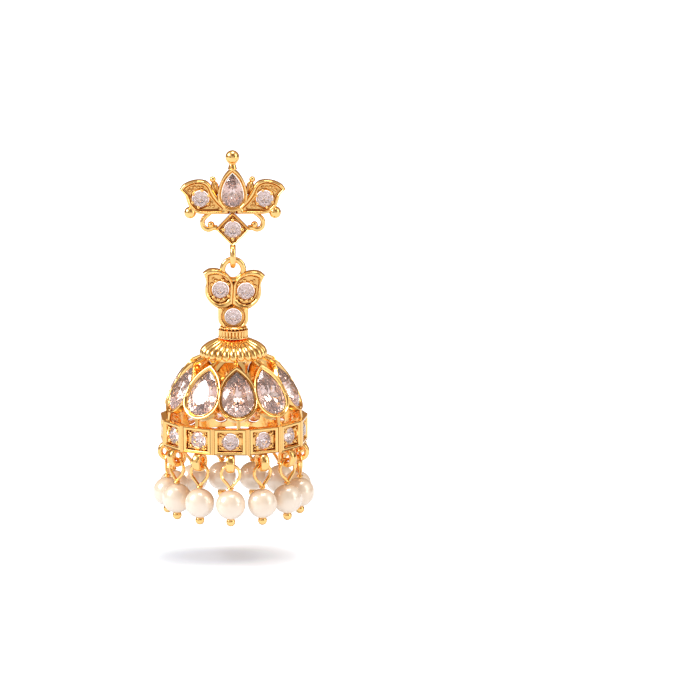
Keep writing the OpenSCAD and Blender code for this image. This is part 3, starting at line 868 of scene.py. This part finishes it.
def bezel_centre_z():
    """The height of a bezel's round end, from the first pear stone's tip."""
    high = box_mm("pear_stone_01")[1]
    r, h = PEAR["radius"], PEAR["height"]
    tip = pear_outline(r, h, -GAP)[0][1]
    return high.z - max(tip * cos(LEAN) - STONE_SINK * sin(LEAN), top_of_table(r, h))


def top_of_table(r, h):
    """How far a pear stone's table reaches above its round end's centre, on the CAD stone."""
    heart = 0.3 * h * CAD_TABLE
    tip = heart + CAD_TABLE * (h - heart)
    return tip * cos(LEAN) + (PEAR_CROWN * r - STONE_SINK) * sin(LEAN)


BEZEL_Z = bezel_centre_z()
CROWN_Z = CAP_LOW.z - GAP


def on_bezel():
    """A bezel's face: local y runs up it and local z out of it."""
    return shift(0, -BEZEL_REACH, BEZEL_Z) @ turn(pi / 2 - LEAN, "X")


def bar(shape, a, b, wide, thick, place):
    """A strut with soft edges between two rows of reach and height."""
    a, b = Vector((0, -a[0], a[1])), Vector((0, -b[0], b[1]))
    side = Vector((1, 0, 0))
    out = (b - a).normalized().cross(side)
    corners = [squared(2 * pi * k / 12, 0.6) for k in range(12)]
    rings = [[p + side * x * wide / 2 + out * y * thick / 2 for x, y in corners] for p in (a, b)]
    shape.loft(rings, place)


def cage(shape):
    """The ring under the cap, and the pear bezels on their struts, down to the band."""
    face_low = BEZEL_REACH + (PEAR["radius"] + PEAR_RIM) * sin(LEAN)
    bottom_z = BEZEL_Z - (PEAR["radius"] + PEAR_RIM) * cos(LEAN)
    tip = pear_outline(**PEAR, grow=PEAR_RIM)[0][1]
    top = (BEZEL_REACH - tip * sin(LEAN), BEZEL_Z + tip * cos(LEAN))
    band_top = BAND_Z + BAND_TALL / 2
    for i in range(PEARS):
        place = around(PEARS, PEAR_TURN, i)
        pear_bezel(shape, PEAR, PEAR_RIM, BEZEL_DEPTH, place @ on_bezel(), 12)
        pear_cup(shape, PEAR, -0.3, 0.1, 0.12, place @ on_bezel() @ shift(0, 0, -STONE_SINK))
        bar(shape, (CROWN_R - 0.4, CROWN_Z - CROWN_TALL / 2), (top[0] - 0.25, top[1] - 0.35),
            0.6, 0.55, place)
        bar(shape, (face_low - 0.4, bottom_z + 0.35), (face_low - 0.2, band_top - 0.2),
            0.55, 0.5, place)
    shape.lathe([(0.85, CROWN_Z - CROWN_TALL), (CROWN_R - 0.1, CROWN_Z - CROWN_TALL),
                 (CROWN_R, CROWN_Z - CROWN_TALL + 0.1), (CROWN_R, CROWN_Z - 0.1),
                 (CROWN_R - 0.1, CROWN_Z), (0.85, CROWN_Z)], shift(0, AXIS_Y, 0), 64, True)


def rectangle(wide, tall, steps=8):
    w, t = wide / 2, tall / 2
    return outline([[w, -t, 0], [w, t, 0], [-w, t, 0], [-w, -t, 0]], steps)


def panel(shape, place):
    """One band panel: a moulded frame, a sunk floor, a stone's hole and corner beads."""
    wide = 2 * BAND_REACH * tan(pi / PANELS)
    back_wide = 2 * (BAND_REACH - BAND_THICK) * tan(pi / PANELS)
    tall = BAND_TALL
    face = place @ shift(0, -BAND_REACH, BAND_Z)
    rows = [(back_wide, tall - 0.16, -BAND_THICK), (back_wide, tall, 0.08 - BAND_THICK),
            (wide - 0.1, tall, -0.26), (wide - 0.02, tall - 0.03, -0.15),
            (wide - 0.1, tall - 0.06, -0.04), (wide - 0.22, tall - 0.1, 0.0),
            (wide - 0.46, tall - 0.14, 0.0), (wide - 0.53, tall - 0.18, -0.04),
            (wide - 0.57, tall - 0.21, -0.15), (wide - 0.65, tall - 0.25, -0.15),
            (wide - 0.7, tall - 0.29, -0.04), (wide - 0.8, tall - 0.38, 0.0),
            (3.48, 2.84, 0.0), (3.36, 2.72, -0.04), (3.28, 2.64, -0.14), (3.06, 2.42, -0.48)]
    rings = [upright(rectangle(w, t), d) for w, t, d in rows]
    inner = rectangle(3.06, 2.42)
    well = onto_circle(inner, (0, 0), BAND_STONE_R)
    rings += [upright(onto_circle(inner, (0, 0), BAND_STONE_R + 0.04), -0.48),
              upright(well, -0.4), upright(well, -BAND_THICK)]
    shape.loft(rings, face, joined=True)
    for sx in (-1, 1):
        for sz in (-1, 1):
            for x, z, r in ((0.98, 0.82, 0.25), (1.32, 0.62, 0.15), (1.3, 1.02, 0.16)):
                shape.ball(r, (sx * x, 0.3, sz * z), 12, face)


def lug(shape, place):
    """A soft-edged ring across the bell's radius."""
    middle, half = (LUG_R + LUG_HOLE_R) / 2, (LUG_R - LUG_HOLE_R) / 2
    profile = []
    for k in range(16):
        x, y = squared(2 * pi * k / 16, 0.7)
        profile.append((middle + half * x, y * LUG_WIDE / 2))
    shape.lathe(profile, place @ shift(0, -DROP_REACH, LUG_Z) @ turn(pi / 2, "Y"), 32, True)


def build_bell():
    shape = Shape()
    cage(shape)
    for i in range(PANELS):
        place = around(PANELS, PANEL_TURN, i)
        panel(shape, place)
        lug(shape, place)
    shape.piece("bell_cage", GOLD, "drop", ["bell"], "gold")
    for i in range(PEARS):
        shape = Shape()
        pear_stone(shape, PEAR, around(PEARS, PEAR_TURN, i) @ on_bezel() @ shift(0, 0, -STONE_SINK))
        name = f"pear_stone_{i + 1:02d}"
        shape.piece(name + "_cut", STONE, "drop", [name], "stone", 0)
    shape = Shape()
    for i in range(PANELS):
        round_stone(shape, BAND_STONE_R, around(PANELS, PANEL_TURN, i)
                    @ facing(0, RECESS_DEPTH - BAND_REACH, BAND_Z))
    shape.piece("band_stones_cut", STONE, "drop", ["band_stones"], "stone", 0)


# --- Eye pins and pearls ---

def eye_pin(shape, place, pin_box):
    """A wire bent into a teardrop eye, wrapped below it, and ended in a ball."""
    low, high = pin_box
    eye_top = high.z - PIN_R
    middle = eye_top - EYE_HALF
    bottom = middle - EYE_DROP
    first = asin(EYE_HALF / EYE_DROP) - pi / 2
    arc = [(EYE_HALF * cos(a), 0, middle + EYE_HALF * sin(a))
           for a in (first + (pi - 2 * first) * k / 28 for k in range(29))]
    path = [(0, 0, bottom)] + arc + [(0, 0, bottom)]
    shape.wire(path, 0.9 * PIN_R, (0, 1, 0), place, 10)
    shape.lathe([(0.2, -0.17), (0.42, -0.13), (0.47, 0.0), (0.36, 0.14), (0.15, 0.2)],
                place @ shift(0, 0, bottom), 20)
    ball_z = low.z + PIN_BALL_R
    shape.wire([(0, 0, bottom), (0, 0, ball_z)], PIN_R, (0, 1, 0), place, 10)
    shape.ball(PIN_BALL_R, (0, 0, ball_z), 24, place)


def pearl(shape, place, high):
    """A ball with a hole down its middle, a little wider at the bottom. Its top edge is at `high`."""
    hole, mouth = 0.3, 0.55
    z = high - sqrt(PEARL_R ** 2 - hole ** 2)
    first, last = asin(hole / PEARL_R), asin(mouth / PEARL_R)
    profile = []
    for k in range(33):
        a = first + (pi - first - last) * k / 32
        profile.append((PEARL_R * sin(a), z + PEARL_R * cos(a)))
    profile += [(hole, profile[-1][1] + hole)]
    shape.lathe(profile, place, 48, True)


def build_drops():
    for i in range(PANELS):
        place = around(PANELS, PANEL_TURN, i) @ shift(0, -DROP_REACH, 0)
        name = f"eye_pin_{i + 1:02d}"
        shape = Shape()
        eye_pin(shape, place @ turn(radians(DROP_TURNS[i]), "Z"), box_mm(name))
        shape.piece(name + "_wire", GOLD, "drop", [name], "gold")
        name = f"pearl_{i + 1:02d}"
        shape = Shape()
        pearl(shape, place, box_mm(name)[1].z)
        shape.piece(name + "_bead", PEARL, "drop", [name], "pearl")


# --- Studio ---

CAMERA = (0, -550, 85)
AIM = (15.8, 0, -21.3)
VIEW_WIDE = 94.9
FLOOR_DROP = 6.5
STRAY_GLOW = 0.35  # the share of the floor's glow that lights the earring

# Name, azimuth, elevation, distance, size and power. Azimuth 0 is the camera's side.
SOFTBOXES = [
    ("key_left", -78, 37, 0.7, (0.3, 0.3), 3.2),
    ("fill_right", 72, 32, 0.8, (0.3, 0.45), 0.9),
    ("kicker_right", 60, 6, 0.7, (0.1, 0.16), 0.25),
    ("overhead", 80, 85, 0.8, (0.3, 0.3), 2.4)]

# The dark things around a photographer's table, which the metal mirrors: colour, azimuth, elevation,
# and the angles from the middle at which a patch starts to fade and ends
ROOM = (0.78, 0.76, 0.73, 1)
PATCHES = [
    ((0.4, 0.23, 0.1, 1), 180, 5, 42, 80),
    ((0.3, 0.22, 0.17, 1), 12, 44, 12, 38),
    ((0.2, 0.11, 0.05, 1), -34, 6, 6, 13),
    ((0.2, 0.11, 0.05, 1), 40, 16, 6, 13),
    ((0.2, 0.11, 0.05, 1), -100, 8, 10, 18),
    ((0.2, 0.11, 0.05, 1), 104, 8, 10, 18)]


def towards(azimuth, elevation):
    a, e = radians(azimuth), radians(elevation)
    return Vector((sin(a) * cos(e), -cos(a) * cos(e), sin(e)))


def build_camera():
    """Level with the bell from a little above, framed as a product shot of a pair is."""
    data = bpy.data.cameras.new("camera")
    camera = bpy.data.objects.new("camera", data)
    bpy.context.scene.collection.objects.link(camera)
    camera.location = Vector(CAMERA) * MM
    way = Vector(AIM) * MM - camera.location
    camera.rotation_euler = way.to_track_quat("-Z", "Y").to_euler()
    data.sensor_width = 36
    data.lens = data.sensor_width * way.length / (VIEW_WIDE * MM)
    data.clip_start = 0.01
    bpy.context.scene.camera = camera


def softbox(name, azimuth, elevation, distance, size, power):
    """An area light that looks at the earring's middle."""
    data = bpy.data.lights.new(name, "AREA")
    data.shape = "RECTANGLE"
    data.size, data.size_y = size
    data.energy = power
    light = bpy.data.objects.new(name, data)
    bpy.context.scene.collection.objects.link(light)
    middle = Vector((0, 0, -0.02))
    light.location = middle + distance * towards(azimuth, elevation)
    light.rotation_euler = (middle - light.location).to_track_quat("-Z", "Y").to_euler()


def add_glow_with_painted_shadow(nodes, links):
    """A glow that is weak under the earring, where its soft shadow lies, and strong further out. The
    dim oval paints shadow onto the floor, over the shade that the lamps cast.
    """
    place = nodes.new("ShaderNodeTexCoord")
    oval = nodes.new("ShaderNodeVectorMath")
    oval.operation = "MULTIPLY_ADD"
    oval.inputs[1].default_value = (1, 1.6, 1)
    oval.inputs[2].default_value = (0.0025, 0, 0)
    links.new(place.outputs["Object"], oval.inputs[0])
    reach = nodes.new("ShaderNodeVectorMath")
    reach.operation = "LENGTH"
    links.new(oval.outputs["Vector"], reach.inputs[0])
    glow = nodes.new("ShaderNodeMapRange")
    glow.interpolation_type = "SMOOTHSTEP"
    glow.inputs["From Min"].default_value = 0.002
    glow.inputs["From Max"].default_value = 0.0195
    glow.inputs["To Min"].default_value = 0.16
    glow.inputs["To Max"].default_value = 0.9
    links.new(reach.outputs["Value"], glow.inputs["Value"])
    return glow.outputs["Result"]


def floor_material():
    """A pale matt floor that glows faintly, and less in an oval under the earring, which paints its
    shadow. Only the camera sees the whole of its glow.
    """
    made, nodes, links, shader = material("floor")
    shader.inputs["Base Color"].default_value = (0.6, 0.66, 0.76, 1)
    shader.inputs["Roughness"].default_value = 0.9
    shader.inputs["Specular IOR Level"].default_value = 0.0
    shader.inputs["Emission Color"].default_value = (1, 1, 1, 1)
    path = nodes.new("ShaderNodeLightPath")
    share = nodes.new("ShaderNodeMapRange")
    share.inputs["To Min"].default_value = STRAY_GLOW
    links.new(path.outputs["Is Camera Ray"], share.inputs["Value"])
    seen = nodes.new("ShaderNodeMath")
    seen.operation = "MULTIPLY"
    # The glow dims in an oval under the earring, which paints a shadow on the floor.
    links.new(add_glow_with_painted_shadow(nodes, links), seen.inputs[0])
    links.new(share.outputs["Result"], seen.inputs[1])
    links.new(seen.outputs["Value"], shader.inputs["Emission Strength"])
    return made


def build_floor():
    floor_z = CAD_BOX[0][2] - FLOOR_DROP * MM
    bpy.ops.mesh.primitive_plane_add(size=6, location=(0, 0, floor_z))
    floor = bpy.context.object
    floor.name = "floor"
    floor.data.materials.append(floor_material())


def add_patch(nodes, links, way, under, colour, azimuth, elevation, inner, outer):
    """A round patch of colour in the surroundings, over what is under it."""
    dot = nodes.new("ShaderNodeVectorMath")
    dot.operation = "DOT_PRODUCT"
    dot.inputs[1].default_value = towards(azimuth, elevation)
    links.new(way, dot.inputs[0])
    mask = nodes.new("ShaderNodeMapRange")
    mask.interpolation_type = "SMOOTHSTEP"
    mask.inputs["From Min"].default_value = cos(radians(outer))
    mask.inputs["From Max"].default_value = cos(radians(inner))
    links.new(dot.outputs["Value"], mask.inputs["Value"])
    return add_tone(nodes, links, mask.outputs["Result"], under, colour)


def build_surroundings():
    """A room for the metal to mirror, behind a ground that is plain white to the camera."""
    world = bpy.data.worlds.new("studio")
    world.use_nodes = True
    bpy.context.scene.world = world
    nodes, links = world.node_tree.nodes, world.node_tree.links
    way = nodes.new("ShaderNodeTexCoord").outputs["Generated"]
    sky = ROOM
    for patch in PATCHES:
        sky = add_patch(nodes, links, way, sky, *patch)
    room = nodes["Background"]
    room.inputs["Strength"].default_value = 1.0
    links.new(sky, room.inputs["Color"])
    white = nodes.new("ShaderNodeBackground")
    white.inputs["Color"].default_value = (1, 1, 1, 1)
    white.inputs["Strength"].default_value = 1.1
    path = nodes.new("ShaderNodeLightPath")
    mix = nodes.new("ShaderNodeMixShader")
    links.new(path.outputs["Is Camera Ray"], mix.inputs["Fac"])
    links.new(room.outputs["Background"], mix.inputs[1])
    links.new(white.outputs["Background"], mix.inputs[2])
    links.new(mix.outputs["Shader"], nodes["World Output"].inputs["Surface"])


def build_studio():
    build_floor()
    build_surroundings()
    for row in SOFTBOXES:
        softbox(*row)
    scene = bpy.context.scene
    scene.view_settings.view_transform = "Standard"
    # Light needs many turns inside a cut stone before it comes out again
    scene.cycles.max_bounces = 16
    scene.cycles.glossy_bounces = 8
    scene.cycles.transmission_bounces = 16


build_camera()
build_stud()
build_connector()
build_cap()
build_bell()
build_drops()
build_studio()
